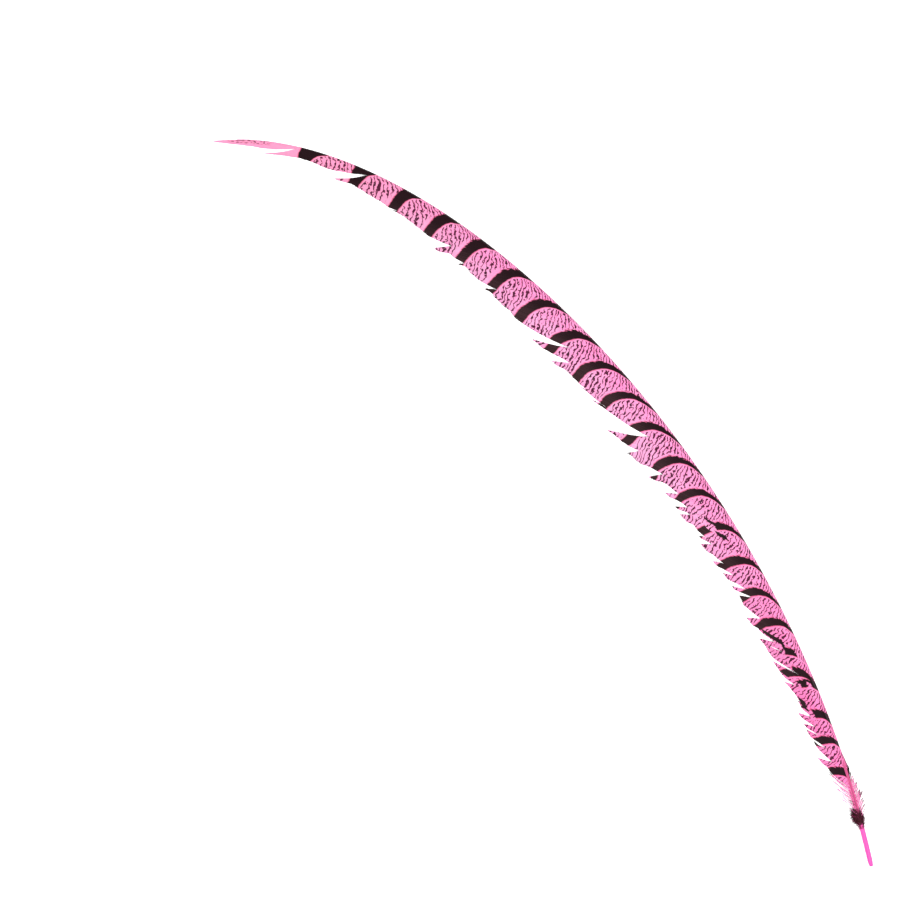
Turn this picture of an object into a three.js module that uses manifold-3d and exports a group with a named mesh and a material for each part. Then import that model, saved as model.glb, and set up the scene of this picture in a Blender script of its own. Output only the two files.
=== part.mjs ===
// A long barred pheasant tail feather lying on a table, dorsal face up.
//
// Millimetres. The feather rests on z = 0. +X runs along the chord from the quill end to the tip,
// and +Y points to the side of the wide vane. The shaft bows towards -Y and hooks towards +Y at
// the tip. The origin is under the middle of the whole feather.
//
// Sections are drawn as (left, up): left is measured from the shaft's axis towards the wide vane,
// square to the axis, and up is the height over the table.

import * as THREE from 'three';
import { mergeVertices } from 'three/addons/utils/BufferGeometryUtils.js';
import Module from 'manifold-3d';

const { clamp, degToRad, lerp, mapLinear, smoothstep } = THREE.MathUtils;

// ---------------------------------------------------------------- driving dimensions

const SHAFT_LENGTH = 915; // quill end to tip, along the bow
const BASE_HEADING = -29.3; // degrees from +X at the quill end
const EVEN_BEND = 52.2; // degrees of turn spread evenly along the shaft
const TIP_HOOK = 31.2; // degrees of extra turn, nearly all of it close to the tip
const TIP_HOOK_POWER = 7.8;

const QUILL_RADIUS = 2.15;
const QUILL_END_RADIUS = 1.2;
const QUILL_END_LENGTH = 7; // the rounded end of the quill
const TIP_RADIUS = 0.3;
const TAPER_START = 40; // the quill is even up to here, then the shaft tapers to its tip
const SHAFT_LIFT = 4.2; // how far the bow holds the shaft off the table
const SHAFT_SIDES = 12;

const GAP = 0.3; // clearance between neighbouring pieces
const VANE_THICKNESS = 0.6;
const VANE_START = 54; // distance from the quill end where both vanes begin
const WIDE_VANE_END = 912;
const TOUCHDOWN = 0.8; // the part of the wide vane's width that slopes; the rest lies flat
const BARB_ANGLE = 33; // degrees between a barb and the shaft, pointing to the tip

const NARROW_VANE_END = 890;
const FOLDED_SPREAD = 0.7; // the folded narrow vane's foot stands this far outside its root
const BASE_SPREAD = 6; // next to the quill it lies flatter
const FOLD_COMPLETE = 110; // distance from the quill end where it is folded down all the way

const DOWN_START = 34;
const DOWN_END = 53;
const DOWN_HEIGHT = 2.4;
const DOWN_SIDES = 8;
const WIDE_SIDE_DOWN = 6.5; // widths of the two tufts of down
const NARROW_SIDE_DOWN = 5;

// Width of the wide vane from the shaft's axis: [distance from the quill end, width].
const WIDE_VANE_OUTLINE = [
  [54, 5], [62, 6.5], [84, 11.5], [106, 17.5], [136, 20.5], [161, 20], [185, 23], [250, 27.5],
  [303, 30], [355, 33], [420, 37], [442, 41], [462, 41], [478, 33], [521, 33.5], [546, 36.5],
  [566, 37], [613, 31.7], [653, 28.2], [696, 24.7], [740, 18.6], [775, 15.5], [798, 14],
  [808, 9.5], [838, 7], [861, 7.5], [876, 3.3], [897, 1.8], [912, 1.1],
];

// Gaps where the barbs have come apart: the root of each gap, as its distance from the quill end
// and from the shaft's axis, and the gap's width at the vane's outer edge.
const SPLITS = [
  { along: 150, across: 12, opening: 3 },
  { along: 178, across: 6.5, opening: 5 },
  { along: 241, across: 19.5, opening: 3 },
  { along: 260, across: 16, opening: 4 },
  { along: 285, across: 20, opening: 3 },
  { along: 360, across: 25.5, opening: 3 },
  { along: 395, across: 26.5, opening: 3 },
  { along: 430, across: 16, opening: 11 },
  { along: 534, across: 17, opening: 8 },
  { along: 677, across: 18.5, opening: 3 },
  { along: 773, across: 4, opening: 6 },
];

// ---------------------------------------------------------------- the shaft's line

const CURVE_STEPS = 600;

// The shaft's axis seen from above: a curve given by its heading.
class ShaftLine extends THREE.Curve {
  constructor() {
    super();
    this.points = [new THREE.Vector2(0, 0)];
    const step = SHAFT_LENGTH / CURVE_STEPS;
    for (let i = 0; i < CURVE_STEPS; i += 1) {
      const heading = this.headingAt((i + 0.5) / CURVE_STEPS);
      const stride = new THREE.Vector2(Math.cos(heading), Math.sin(heading));
      this.points.push(stride.multiplyScalar(step).add(this.points[i]));
    }
  }

  headingAt(fraction) {
    return degToRad(BASE_HEADING + EVEN_BEND * fraction + TIP_HOOK * fraction ** TIP_HOOK_POWER);
  }

  getPoint(fraction, target = new THREE.Vector2()) {
    const place = clamp(fraction, 0, 1) * CURVE_STEPS;
    const before = Math.min(Math.floor(place), CURVE_STEPS - 1);
    return target.lerpVectors(this.points[before], this.points[before + 1], place - before);
  }
}

const shaftLine = new ShaftLine();

// The point of the feather at a distance along the shaft, a distance left of it and a height.
function placed(along, left, up) {
  const heading = shaftLine.headingAt(along / SHAFT_LENGTH);
  const { x, y } = shaftLine.getPoint(along / SHAFT_LENGTH);
  return new THREE.Vector3(x - left * Math.sin(heading), y + left * Math.cos(heading), up);
}

// ---------------------------------------------------------------- sizes along the feather

function taperedRadius(along) {
  const part = clamp((along - TAPER_START) / (SHAFT_LENGTH - TAPER_START), 0, 1);
  return lerp(QUILL_RADIUS, TIP_RADIUS, part);
}

function shaftRadius(along) {
  if (along >= QUILL_END_LENGTH) {
    return taperedRadius(along);
  }
  const roundness = Math.sqrt(1 - (1 - along / QUILL_END_LENGTH) ** 2);
  return lerp(QUILL_END_RADIUS, QUILL_RADIUS, roundness);
}

// Height of the shaft's axis. One of its flat sides rests on the table at the quill end.
function shaftHeight(along) {
  const hump = Math.sin(Math.PI * (along / SHAFT_LENGTH) ** 0.75) ** 2;
  return taperedRadius(along) * Math.cos(Math.PI / SHAFT_SIDES) + SHAFT_LIFT * hump;
}

function wideVaneWidth(along) {
  const next = WIDE_VANE_OUTLINE.findIndex(([distance]) => distance >= along);
  if (next === 0) {
    return WIDE_VANE_OUTLINE[0][1];
  }
  const [from, low] = WIDE_VANE_OUTLINE[next - 1];
  const [to, high] = WIDE_VANE_OUTLINE[next];
  return mapLinear(along, from, to, low, high);
}

// Evenly spaced distances from start to end, both included.
function stations(start, end, spacing) {
  const count = Math.ceil((end - start) / spacing);
  return Array.from({ length: count + 1 }, (_, i) => lerp(start, end, i / count));
}

// ---------------------------------------------------------------- sections and solids

// An ellipse, with a flat side at its bottom.
function ellipseSection(left, up, halfWidth, halfHeight, sides) {
  return Array.from({ length: sides }, (_, i) => {
    const turn = (2 * Math.PI * (i + 0.5)) / sides;
    return new THREE.Vector2(left + halfWidth * Math.cos(turn), up + halfHeight * Math.sin(turn));
  });
}

// A thin band: the given points, and the same points moved by an offset on the way back.
function bandSection(points, offset) {
  return [...points, ...points.map((point) => point.clone().add(offset)).reverse()];
}

// A closed body through one section after another. Sections run anticlockwise as seen from the
// feather's tip.
function loft(distances, sectionAt) {
  const sections = distances.map(sectionAt);
  const corners = sections[0].length;
  const positions = sections.flatMap((section, i) => (
    section.flatMap(({ x, y }) => placed(distances[i], x, y).toArray())
  ));

  const triangles = [];
  for (let start = 0; start < (sections.length - 1) * corners; start += corners) {
    for (let j = 0; j < corners; j += 1) {
      const here = start + j;
      const beside = start + ((j + 1) % corners);
      triangles.push(here, beside, beside + corners);
      triangles.push(here, beside + corners, here + corners);
    }
  }
  const last = (sections.length - 1) * corners;
  for (const [a, b, c] of THREE.ShapeUtils.triangulateShape(sections[0], [])) {
    triangles.push(c, b, a);
  }
  for (const face of THREE.ShapeUtils.triangulateShape(sections.at(-1), [])) {
    triangles.push(...face.map((corner) => last + corner));
  }

  const geometry = new THREE.BufferGeometry();
  geometry.setAttribute('position', new THREE.Float32BufferAttribute(positions, 3));
  geometry.setIndex(triangles);
  return geometry;
}

const wasm = await Module();
wasm.setup();

function toManifold(geometry) {
  const bare = geometry.clone();
  bare.deleteAttribute('normal');
  bare.deleteAttribute('uv');
  const merged = mergeVertices(bare);
  return new wasm.Manifold(new wasm.Mesh({
    numProp: 3,
    vertProperties: new Float32Array(merged.attributes.position.array),
    triVerts: new Uint32Array(merged.index.array),
  }));
}

function toGeometry(solid) {
  const { vertProperties, triVerts } = solid.getMesh();
  const geometry = new THREE.BufferGeometry();
  geometry.setAttribute('position', new THREE.BufferAttribute(vertProperties, 3));
  geometry.setIndex(new THREE.BufferAttribute(triVerts, 1));
  return geometry;
}

// ---------------------------------------------------------------- the pieces

function shaft() {
  const roundedEnd = stations(0, QUILL_END_LENGTH, 1.5).slice(0, -1);
  const distances = [...roundedEnd, ...stations(QUILL_END_LENGTH, SHAFT_LENGTH, 10)];
  return loft(distances, (along) => {
    const radius = shaftRadius(along);
    return ellipseSection(0, shaftHeight(along), radius, radius, SHAFT_SIDES);
  });
}

// The wide vane leaves the shaft level with its upper side, slopes down over most of its width
// and lies flat on the table along its outer edge.
function wideVaneSection(along) {
  const inner = shaftRadius(along) + GAP;
  const outer = wideVaneWidth(along);
  const rootHeight = Math.max(shaftHeight(along) + 0.3 * shaftRadius(along) - VANE_THICKNESS, 0);
  const underside = [0, 0.2, 0.4, 0.6, TOUCHDOWN, 1].map((part) => {
    const height = rootHeight * (1 - smoothstep(part, 0, TOUCHDOWN));
    return new THREE.Vector2(lerp(inner, outer, part), height);
  });
  return bandSection(underside, new THREE.Vector2(0, VANE_THICKNESS));
}

// A tall wedge along the barbs, with its point at the root of a split.
function splitCutter({ along, across, opening }) {
  const barbDirection = degToRad(BARB_ANGLE);
  const gapLength = (wideVaneWidth(along) - across) / Math.sin(barbDirection);
  const halfSpread = Math.atan(opening / 2 / gapLength);
  const reach = 2 * gapLength;
  const outline = [[0, 0], [reach, -halfSpread], [reach, halfSpread]].map(([run, turn]) => {
    const angle = barbDirection + turn;
    const { x, y } = placed(along + run * Math.cos(angle), across + run * Math.sin(angle), 0);
    return new THREE.Vector2(x, y);
  });
  const height = 4 * SHAFT_LIFT;
  const wedge = new THREE.ExtrudeGeometry(new THREE.Shape(outline), {
    depth: height,
    bevelEnabled: false,
  });
  return wedge.translate(0, 0, -height / 2);
}

function wideVane() {
  const whole = toManifold(loft(stations(VANE_START, WIDE_VANE_END, 8), wideVaneSection));
  const gaps = SPLITS.map((split) => toManifold(splitCutter(split)));
  return toGeometry(gaps.reduce((vane, gap) => vane.subtract(gap), whole));
}

// The narrow vane hangs from the other side of the shaft and stands on the table on its edge.
function narrowVane() {
  return loft(stations(VANE_START, NARROW_VANE_END, 8), (along) => {
    const height = shaftHeight(along);
    const flatness = 1 - smoothstep(along, VANE_START, FOLD_COMPLETE);
    const spread = lerp(FOLDED_SPREAD, BASE_SPREAD, flatness);
    const slant = Math.hypot(height, spread) / height;
    const root = -(shaftRadius(along) + GAP);
    const innerFace = [0, 0.5, 1].map((part) => (
      new THREE.Vector2(root - spread * part, height * (1 - part))
    ));
    return bandSection(innerFace, new THREE.Vector2(-VANE_THICKNESS * slant, 0)).reverse();
  });
}

// A tuft of down lies along the shaft below the vanes. Side is 1 for the wide side, -1 for the
// narrow side.
function down(side, width) {
  return loft(stations(DOWN_START, DOWN_END, 2.5), (along) => {
    const part = (along - DOWN_START) / (DOWN_END - DOWN_START);
    const fullness = lerp(0.25, 1, Math.sin(Math.PI * part) ** 0.7);
    const halfWidth = (width / 2) * fullness;
    const halfHeight = (DOWN_HEIGHT / 2) * fullness;
    const left = side * (shaftRadius(along) + GAP + halfWidth);
    return ellipseSection(left, DOWN_HEIGHT / 2, halfWidth, halfHeight, DOWN_SIDES);
  });
}

// ---------------------------------------------------------------- the feather

const shaftFinish = { color: 0xd8508c, roughness: 0.4, metalness: 0 };
const vaneFinish = { color: 0xf69ccd, roughness: 0.75, metalness: 0 };
const downFinish = { color: 0x4a1826, roughness: 0.9, metalness: 0 };

function piece(name, geometry, finish) {
  const mesh = new THREE.Mesh(geometry, new THREE.MeshStandardMaterial(finish));
  mesh.name = name;
  return mesh;
}

const pieces = new THREE.Group();
pieces.add(
  piece('shaft', shaft(), shaftFinish),
  piece('wide_vane', wideVane(), vaneFinish),
  piece('narrow_vane', narrowVane(), vaneFinish),
  piece('wide_side_down', down(1, WIDE_SIDE_DOWN), downFinish),
  piece('narrow_side_down', down(-1, NARROW_SIDE_DOWN), downFinish),
);

// The sections start from the quill end, so the pieces move to put the origin in the middle.
const middle = new THREE.Box3().setFromObject(pieces).getCenter(new THREE.Vector3());
pieces.position.set(-middle.x, -middle.y, 0);

const feather = new THREE.Group();
feather.add(pieces);

export default feather;
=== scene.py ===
"""A long pink pheasant tail feather with black bars, lying on a pale table.

Laid out as an add-on: one operator makes the shaft, one each vane, one the down and one the
stage. Lengths are in metres, and in millimetres in the lists below. "Along" is the distance from
the quill end along the shaft, "from tip" the distance from the other end, and "from ridge" the
distance across a vane from the shaft's outer edge. A cross-section's plane is (left, up).
"""

import math
import random

import bmesh
import bpy
from bpy.props import FloatProperty, FloatVectorProperty, IntProperty, PointerProperty
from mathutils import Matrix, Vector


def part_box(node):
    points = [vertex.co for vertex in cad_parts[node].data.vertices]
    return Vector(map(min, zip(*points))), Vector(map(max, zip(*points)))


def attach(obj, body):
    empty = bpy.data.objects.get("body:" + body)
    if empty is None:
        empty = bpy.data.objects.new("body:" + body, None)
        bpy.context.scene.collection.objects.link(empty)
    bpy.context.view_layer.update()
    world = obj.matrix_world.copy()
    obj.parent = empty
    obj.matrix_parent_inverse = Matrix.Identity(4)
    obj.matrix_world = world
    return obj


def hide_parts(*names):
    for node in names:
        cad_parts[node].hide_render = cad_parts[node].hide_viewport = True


bl_info = {
    "name": "Barred Tail Feather",
    "version": (1, 0, 0),
    "blender": (4, 5, 0),
    "location": "View3D > Sidebar > Feather",
    "description": "Builds a long barred tail feather barb by barb",
    "category": "Add Mesh",
}

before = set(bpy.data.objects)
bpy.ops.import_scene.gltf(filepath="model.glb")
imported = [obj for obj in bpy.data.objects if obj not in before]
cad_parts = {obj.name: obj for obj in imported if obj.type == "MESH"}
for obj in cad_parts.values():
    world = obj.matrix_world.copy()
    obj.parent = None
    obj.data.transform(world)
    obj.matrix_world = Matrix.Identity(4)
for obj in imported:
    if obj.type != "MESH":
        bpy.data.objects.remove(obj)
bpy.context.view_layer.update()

MM = 0.001


# ------------------------------------------------------------------ markings and outlines, in mm

# The black bars from the tip to the quill: distance from the tip of the bar's two edges at the
# vane's outer side, and how far each edge sweeps down towards the quill along the ridge.
BARS = [
    (78.5, 84.8, 0, 16.2), (128, 136.8, 1.4, 9), (171.2, 178.6, 5.2, 12.5), (210.5, 217.9, 8, 14),
    (248.5, 255.6, 8.4, 14.8), (286.1, 293.6, 14.5, 20), (323.4, 331.5, 22.8, 25),
    (361.8, 370.4, 25.5, 27.5), (398.7, 405.7, 29.3, 31.7), (433.9, 440.7, 32.7, 33.1),
    (468.2, 476, 33.8, 33.6), (507.5, 513.6, 27.3, 28.3), (542.5, 548.8, 27.7, 27.2),
    (578.6, 585, 25.5, 24), (613.5, 621, 22.7, 20), (645, 652, 27.4, 23),
    (676.5, 683.2, 18.5, 15.6), (705, 711, 20, 20), (724.2, 731.2, 21.5, 20.5), (739, 745, 7, 7),
    (766.8, 773.2, 11.3, 10.8), (792, 798.8, 10.6, 5.6), (821.6, 826.8, 6.9, 9.6),
]
# The sweep dies away across the vane: at this distance from the ridge a third of it is left.
SWEEP_FADE = 6.75
# The sweep that bars beyond the last one would have.
QUILL_SWEEP = 9.0
# How the bars bow towards the tip in the middle of the feather, as (from ridge, bow), and the
# stretch, from the tip, where they do, with its soft ends.
BAR_BOW = [(-5, 0), (14, 0), (24, 1.4), (32, -0.6), (36, -1)]
BOWED_STRETCH = (320.0, 490.0, 30.0)
# How far the bars wander, and how long the teeth are on their upper edge, on that edge near the
# ridge, on their lower edge and around broken places.
BAR_WANDER = 2.0
UPPER_TEETH, RIDGE_TEETH, LOWER_TEETH, BROKEN_TEETH = 1.5, 7.0, 1.2, 3.0
BAR_SOFTNESS = 0.3

# Where barbs have slid against each other, so that a bar is broken or a piece of it lies apart:
# the barbs' roots, the stretch across the vane, and whether it is black (1) or plain (0).
BREAKS = [
    (600.3, 612, 16, 22.5, 0), (608, 613.5, 12, 18, 1), (597, 600.8, 13.5, 19.5, 1),
    (712, 720.5, 11.8, 23.5, 1), (702, 733, -1, 6, 0), (718, 744, 14, 30, 0),
    (747.5, 758, 4.5, 7.8, 0), (755, 775, 12.5, 30, 0), (781, 803, 11.4, 30, 0),
    (774.5, 785, 14.8, 18.6, 1),
]

# The wide vane's outline: distance from the tip and from the ridge. The barbs whose roots lie
# nearer the tip than the first number are short ones, and leave a gap before the next.
OUTLINES = [
    (77, [
        (0, 0.9), (9, 3), (17.5, 4.3), (31, 5.6), (44, 6.6), (53, 6.4), (61, 5.1), (70, 2.9),
        (77, 0.8),
    ]),
    (145.2, [
        (52, 11.1), (66, 10.2), (79, 9.6), (88, 10), (96, 10.6), (105, 11.5), (110, 11.1),
        (114, 10.3), (123, 8.8), (131.5, 6.2), (140, 4.4),
    ]),
    (1000, [
        (60, 10), (100, 11), (113, 16), (131, 16.8), (149, 18.8), (175, 20.8), (201, 22.9),
        (219, 25.2), (263, 28.8), (302, 32.8), (329, 34.4), (360, 34.4), (394, 35.6), (438, 34.6),
        (470, 32.8), (520, 32), (565, 31), (613, 30), (666, 26.5), (701, 25.5), (725, 23.5),
        (740, 20.5), (757, 19.5), (770, 20.5), (800, 19.5), (811, 18), (820, 15.5), (831, 13.5),
        (848, 12), (868, 7),
    ]),
]

# Gaps where barbs have come apart, as distances from the tip and from the ridge: the gap's root,
# the end of the first loose barb, and how long a stretch of barbs is loose.
SPLITS = [
    (140.5, 4.4, 115, 17.3, 16), (180.6, 19.2, 175.3, 22, 4), (238.5, 20.5, 226.2, 30.8, 20),
    (256.9, 26.3, 252.5, 30.2, 6), (294.6, 26.3, 285.8, 31.8, 12), (381.4, 18.4, 348, 38, 30),
    (388.4, 29, 375.2, 39.8, 22), (440.1, 30.7, 434.8, 34, 4), (486.6, 17.5, 456.3, 43.5, 36),
    (493.6, 27, 484.8, 42.2, 26), (519.9, 27.5, 513.7, 39.4, 14), (542.7, 26.5, 533.9, 36.4, 12),
    (556.7, 27, 549.7, 36, 9), (564.6, 27.5, 557.6, 36.8, 14), (589, 27, 583, 32, 7),
    (597, 25.5, 590, 34.8, 15), (616.3, 26, 609.3, 33, 10), (631.2, 22.8, 623.3, 31, 12),
    (647.9, 18.4, 637.4, 29.6, 10), (656.7, 17.5, 647.9, 28.3, 18), (675.9, 20, 668.9, 31, 15),
    (701, 17.5, 690.8, 29, 12), (714.5, 13.2, 696.1, 27.8, 20), (738.2, 7.9, 714.5, 26.6, 20),
    (744.3, 15.5, 735.6, 24.8, 12), (775, 13.5, 766.2, 23.8, 10), (784.6, 13.6, 776.8, 22.8, 9),
    (793.4, 12.8, 782.9, 22.4, 12), (806, 10.2, 797.2, 19.8, 4), (818.9, 9.6, 810.1, 21.6, 11),
]

# The fine wavy lines: their spacing, how they lean and bend towards the quill, and where from the
# tip, and how far, that sweep sets in.
LINE_SPACING = 4.1
LINE_LEAN = 0.35
LINE_BEND = 11.0
LINE_BEND_FADE = 5.0
LINE_SWEEP = (90.0, 260.0, 0.25, 1.0)
# The noise scale and the size, in line spacings, of the lines' waves.
LINE_WAVES = ((0.09, 2.4), (0.33, 1.6))
# Where the plain tip ends and where the lines fade out at the quill, from the tip.
TIP_PLAIN_TO = (84.0, 91.0)
LINES_FADE = (842.0, 832.0, 0.25, 1.0)
# Where the shaft loses its markings, shows a dark line painted as the shade of its groove and turns
# into the bright quill, and where the folded barbs get dark ends, from the tip.
SHAFT_PLAIN_FROM = (812.0, 826.0)
GROOVE_SHADE_FROM = (816.0, 826.0)
QUILL_FROM = (866.0, 880.0)
DARK_ENDS_FROM = (825.0, 845.0)


# ------------------------------------------------------------------ settings

def size_prop(name, description, default, **limits):
    return FloatProperty(name=name, description=description, default=default, unit="LENGTH", **limits)


def angle_prop(name, description, degrees):
    return FloatProperty(
        name=name, description=description, default=math.radians(degrees), subtype="ANGLE")


def colour_prop(name, description, red, green, blue):
    return FloatVectorProperty(
        name=name, description=description, default=(red, green, blue, 1), size=4, min=0, max=1,
        subtype="COLOR")


class FeatherShape(bpy.types.PropertyGroup):
    """The line and thickness of the shaft."""

    length: size_prop("Shaft Length", "Quill end to tip, along the bow", 915 * MM, min=0.1)
    base_heading: angle_prop("Base Heading", "Direction of the quill from the chord", -29.3)
    even_bend: angle_prop("Even Bend", "Turn spread evenly along the shaft", 52.2)
    tip_hook: angle_prop("Tip Hook", "Extra turn close to the tip", 31.2)
    tip_hook_power: FloatProperty(
        name="Tip Hook Power", description="How late the extra turn sets in",
        default=7.8, min=1)
    quill_radius: size_prop("Quill Radius", "Radius of the bare quill", 2.15 * MM, min=0)
    quill_end_radius: size_prop(
        "Quill End Radius", "Radius at the very end of the quill", 1.2 * MM, min=0)
    quill_end_length: size_prop(
        "Quill End Length", "Length of the quill's rounded end", 7 * MM, min=0)
    tip_radius: size_prop("Tip Radius", "Radius of the shaft at the tip", 0.3 * MM, min=0)
    taper_start: size_prop(
        "Taper Start", "Distance from the quill end where the taper begins", 40 * MM, min=0)
    lift: size_prop("Lift", "How far the bow holds the shaft off the table", 4.2 * MM, min=0)


class BarbSettings(bpy.types.PropertyGroup):
    """The size and spacing of the barbs and the down."""

    pitch: size_prop("Pitch", "Distance between two barbs along the shaft", 0.56 * MM, min=0.2 * MM)
    width: size_prop("Barb Width", "Width of one barb with its barbules", 0.52 * MM, min=0)
    thickness: size_prop("Barb Thickness", "Thickness of one barb", 0.12 * MM, min=0)
    overlap_tilt: angle_prop("Overlap Tilt", "How steeply each barb lies over the next one", 14)
    wide_segments: IntProperty(
        name="Wide Vane Segments", description="Lengths that a barb of the wide vane is made of",
        default=9, min=2)
    narrow_segments: IntProperty(
        name="Narrow Vane Segments", description="Lengths that a barb of the narrow vane is made of",
        default=6, min=2)
    down_count: IntProperty(
        name="Down Strands", description="Strands of down on each side of the shaft",
        default=420, min=1)
    down_width: size_prop("Down Width", "Width of a strand of down", 0.2 * MM, min=0)
    seed: IntProperty(
        name="Seed", description="Picks the small irregularities", default=7)


class FeatherColours(bpy.types.PropertyGroup):
    """Linear colours of the feather."""

    pink: colour_prop("Pink", "Ground colour of the vanes", 0.60, 0.165, 0.345)
    tip_pink: colour_prop("Tip Pink", "Warmer ground colour towards the tip", 0.56, 0.195, 0.31)
    pale_pink: colour_prop("Pale Pink", "Ground colour where it is lightest", 0.60, 0.285, 0.45)
    deep_pink: colour_prop("Deep Pink", "Ground colour near the quill", 0.54, 0.055, 0.21)
    rim: colour_prop("Rim", "Colour of the thin rim around each bar", 0.36, 0.012, 0.05)
    black: colour_prop("Bar Black", "Colour of the bars", 0.010, 0.003, 0.0045)
    brown: colour_prop("Bar Brown", "Colour of the bars where barbs are thin", 0.033, 0.015, 0.017)
    maroon: colour_prop("Maroon", "Colour of the fine wavy lines", 0.045, 0.003, 0.016)
    rachis: colour_prop("Rachis", "Colour of the shaft above the quill", 0.40, 0.045, 0.145)
    quill: colour_prop("Quill Pink", "Colour of the bare quill", 0.62, 0.045, 0.265)
    down: colour_prop("Down", "Colour of the down", 0.022, 0.004, 0.005)


class StageSettings(bpy.types.PropertyGroup):
    """The table and the camera above it."""

    chord_angle: angle_prop("Chord Angle", "Direction of the feather's chord in the picture", 132.2)
    aim_along_chord: size_prop(
        "Aim Along Chord", "What the camera looks at, from the quill end", 517.9 * MM)
    aim_beside_chord: size_prop(
        "Aim Beside Chord", "What the camera looks at, left of the chord", 28.5 * MM)
    view_width: size_prop(
        "View Width", "Width of the table that the picture shows", 789 * MM, min=0.01)
    lens: FloatProperty(
        name="Lens", description="Focal length in millimetres", default=85, min=1)


# ------------------------------------------------------------------ small helpers

def clamp(value, low=0.0, high=1.0):
    return max(low, min(high, value))


def mix(a, b, part):
    return a + (b - a) * part


def smoothstep(low, high, value):
    part = clamp((value - low) / (high - low))
    return part * part * (3 - 2 * part)


def add_object(name, data):
    made = bpy.data.objects.new(name, data)
    bpy.context.scene.collection.objects.link(made)
    return made


def read_list(pairs, place):
    """Reads a list of (place, value) pairs, in straight lines between its points."""
    if place <= pairs[0][0]:
        return pairs[0][1]
    for (start, low), (end, high) in zip(pairs, pairs[1:]):
        if place <= end:
            return mix(low, high, (place - start) / (end - start))
    return pairs[-1][1]


# ------------------------------------------------------------------ the shaft's line

class ShaftLine:
    """The axis of the shaft: its course over the table, its height and its radius."""

    STEPS = 600
    FRAME_SIDES = 12

    def __init__(self, shape):
        self.shape = shape
        self.length = shape.length
        self.flat = math.cos(math.pi / self.FRAME_SIDES)
        self.step = shape.length / self.STEPS
        self.points = [(0.0, 0.0)]
        for i in range(self.STEPS):
            heading = self.heading((i + 0.5) * self.step)
            x, y = self.points[-1]
            self.points.append((x + self.step * math.cos(heading), y + self.step * math.sin(heading)))
        self.origin = self.find_origin()

    def find_origin(self):
        """Where the quill end stands, so that this line runs inside the frame's shaft."""
        low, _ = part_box("shaft")
        lefts, rears = [], []
        for i, (x, y) in enumerate(self.points):
            radius = self.radius(i * self.step) * self.flat
            heading = self.heading(i * self.step)
            rears.append(x - radius * abs(math.sin(heading)))
            lefts.append(y - radius * abs(math.cos(heading)))
        return low[0] - min(rears), low[1] - min(lefts)

    def heading(self, along):
        part = clamp(along / self.length)
        shape = self.shape
        hook = shape.tip_hook * part ** shape.tip_hook_power
        return shape.base_heading + shape.even_bend * part + hook

    def tapered_radius(self, along):
        shape = self.shape
        part = clamp((along - shape.taper_start) / (self.length - shape.taper_start))
        return mix(shape.quill_radius, shape.tip_radius, part)

    def radius(self, along):
        shape = self.shape
        if along >= shape.quill_end_length:
            return self.tapered_radius(along)
        roundness = math.sqrt(1 - (1 - along / shape.quill_end_length) ** 2)
        return mix(shape.quill_end_radius, shape.quill_radius, roundness)

    def height(self, along):
        """Height of the axis. The flats of the frame's shaft set how low it lies."""
        hump = math.sin(math.pi * clamp(along / self.length) ** 0.75) ** 2
        return self.tapered_radius(along) * self.flat + self.shape.lift * hump

    def centre(self, along):
        place = clamp(along / self.length) * self.STEPS
        before = min(int(place), self.STEPS - 1)
        part = place - before
        (x0, y0), (x1, y1) = self.points[before], self.points[before + 1]
        return self.origin[0] + mix(x0, x1, part), self.origin[1] + mix(y0, y1, part)

    def place(self, along, left, up):
        """The point at a distance along the shaft, a distance left of its axis and a height."""
        heading = self.heading(along)
        x, y = self.centre(along)
        beyond = min(along, 0) + max(along - self.length, 0)
        x += beyond * math.cos(heading) - left * math.sin(heading)
        y += beyond * math.sin(heading) + left * math.cos(heading)
        return x, y, up


# ------------------------------------------------------------------ building node trees

class Field:
    """A node's output that can be used in sums."""

    def __init__(self, graph, socket):
        self.graph = graph
        self.socket = socket

    def __add__(self, other):
        return self.graph.math("ADD", self, other)

    def __radd__(self, other):
        return self.graph.math("ADD", other, self)

    def __sub__(self, other):
        return self.graph.math("SUBTRACT", self, other)

    def __rsub__(self, other):
        return self.graph.math("SUBTRACT", other, self)

    def __mul__(self, other):
        return self.graph.math("MULTIPLY", self, other)

    def __rmul__(self, other):
        return self.graph.math("MULTIPLY", other, self)

    def __truediv__(self, other):
        return self.graph.math("DIVIDE", self, other)


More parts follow.
